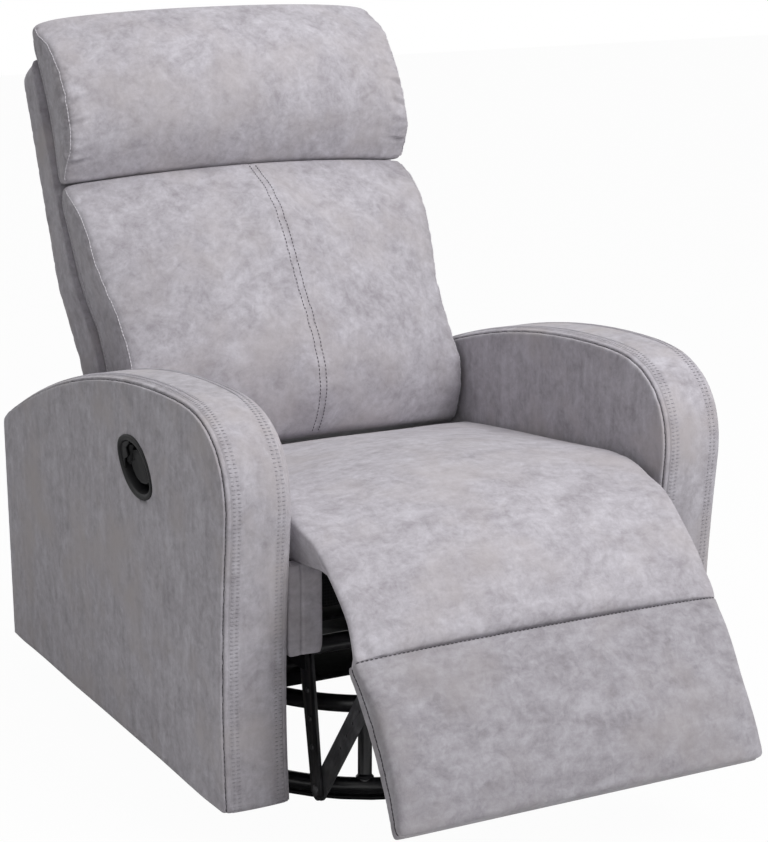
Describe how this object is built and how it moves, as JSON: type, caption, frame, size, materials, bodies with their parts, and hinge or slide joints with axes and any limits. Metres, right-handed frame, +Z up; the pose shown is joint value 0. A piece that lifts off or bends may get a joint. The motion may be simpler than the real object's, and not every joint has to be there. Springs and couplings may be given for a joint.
{
  "type": "swivel rocker recliner",
  "caption": "Upholstered reclining armchair with fold-out footrest, tilting back, rocking seat box and round swivel base.",
  "frame": {"origin": "on the floor, on the swivel axis, with the footrest part way out as pictured", "axes": "+Z up, the sitter faces -Y, the release handle is on the -X arm"},
  "size_m": [0.774, 1.239, 1.034],
  "materials": {
    "upholstery": "matte",
    "black_steel": "satin",
    "spring_steel": "satin",
    "timber": "matte",
    "black_plastic": "satin",
    "webbing": "matte"
  },
  "bodies": {
    "base": {"floor_protector_ring": "black_plastic", "base_ring_lower": "black_steel", "base_ring_upper": "black_steel", "base_post_1": "black_steel", "base_post_2": "black_steel", "base_post_3": "black_steel", "base_post_4": "black_steel", "base_cross_bar_front": "black_steel", "base_cross_bar_rear": "black_steel", "bearing_plate": "black_steel", "bearing_race": "black_steel", "king_bolt": "black_steel"},
    "turntable": {"turntable_plate": "black_steel", "rocker_cradle_left": "black_steel", "rocker_cradle_right": "black_steel", "rocker_shaft": "black_steel", "rocker_spring_front": "spring_steel", "rocker_spring_rear": "spring_steel"},
    "chassis": {"mechanism_plate_left": "black_steel", "mechanism_plate_right": "black_steel", "seat_rail_left": "timber", "seat_rail_right": "timber", "seat_cheek_left": "upholstery", "seat_cheek_right": "upholstery", "seat_front_rail": "timber", "seat_rear_rail": "timber", "spring_bar_front": "black_steel", "spring_bar_rear": "black_steel", "seat_spring_1": "spring_steel", "seat_spring_2": "spring_steel", "seat_cushion": "upholstery", "arm_cover_left": "upholstery", "arm_cover_right": "upholstery", "arm_inner_panel_left": "timber", "arm_inner_panel_right": "timber", "arm_outer_panel_left": "timber", "arm_outer_panel_right": "timber", "handle_cup": "black_plastic", "lever_pin": "black_steel"},
    "front_links": {"drive_tube": "black_steel", "front_link_left": "black_steel", "front_link_right": "black_steel"},
    "footrest_links": {"footrest_link_left": "black_steel", "footrest_link_right": "black_steel"},
    "footrest": {"footrest_board": "timber", "footrest_pad": "upholstery", "calf_pad": "upholstery", "footrest_bracket_left": "black_steel", "footrest_bracket_right": "black_steel"},
    "back": {"back_cover": "upholstery", "back_stile_left": "timber", "back_stile_right": "timber", "recline_bracket_left": "black_steel", "recline_bracket_right": "black_steel", "back_bottom_rail": "timber", "back_top_rail": "timber", "back_webbing": "webbing", "lower_back_cushion": "upholstery", "head_cushion": "upholstery"},
    "lever": {"release_lever": "black_plastic"}
  },
  "joints": [
    {"name": "swivel", "type": "hinge", "parent": "base", "child": "turntable", "pos_m": [0, 0, 0.15], "axis": [0, 0, 1], "continuous": true},
    {"name": "rock", "type": "hinge", "parent": "turntable", "child": "chassis", "pos_m": [0, 0, 0.2], "axis": [1, 0, 0], "range_deg": [-6, 6], "stiffness_Nm_per_rad": 1500, "springref_deg": 1.95, "deforming": ["rocker_spring_front", "rocker_spring_rear"]},
    {"name": "footrest_fold", "type": "hinge", "parent": "chassis", "child": "footrest", "pos_m": [0, -0.4042, 0.4621], "axis": [-1, 0, 0], "range_deg": [-32, 56], "deforming": ["calf_pad"]},
    {"name": "front_link_turn", "type": "hinge", "parent": "chassis", "child": "front_links", "pos_m": [0, -0.25, 0.248], "axis": [-1, 0, 0], "range_deg": [-36, 62]},
    {"name": "footrest_link_turn", "type": "hinge", "parent": "front_links", "child": "footrest_links", "pos_m": [0, -0.2815, 0.0525], "axis": [-1, 0, 0], "range_deg": [-63, 37]},
    {"name": "recline", "type": "hinge", "parent": "chassis", "child": "back", "pos_m": [0, 0.3, 0.345], "axis": [-1, 0, 0], "range_deg": [0, 38]},
    {"name": "release", "type": "hinge", "parent": "chassis", "child": "lever", "pos_m": [-0.3765, -0.01417, 0.48331], "axis": [0, 0.342, -0.9397], "range_deg": [0, 28], "stiffness_Nm_per_rad": 0.3, "springref_deg": -5.73}
  ],
  "couplings": [
    {"joint": "front_link_turn", "follows": "footrest_fold", "ratio": 1.0585},
    {"joint": "footrest_link_turn", "follows": "footrest_fold", "ratio": -1.0981}
  ]
}
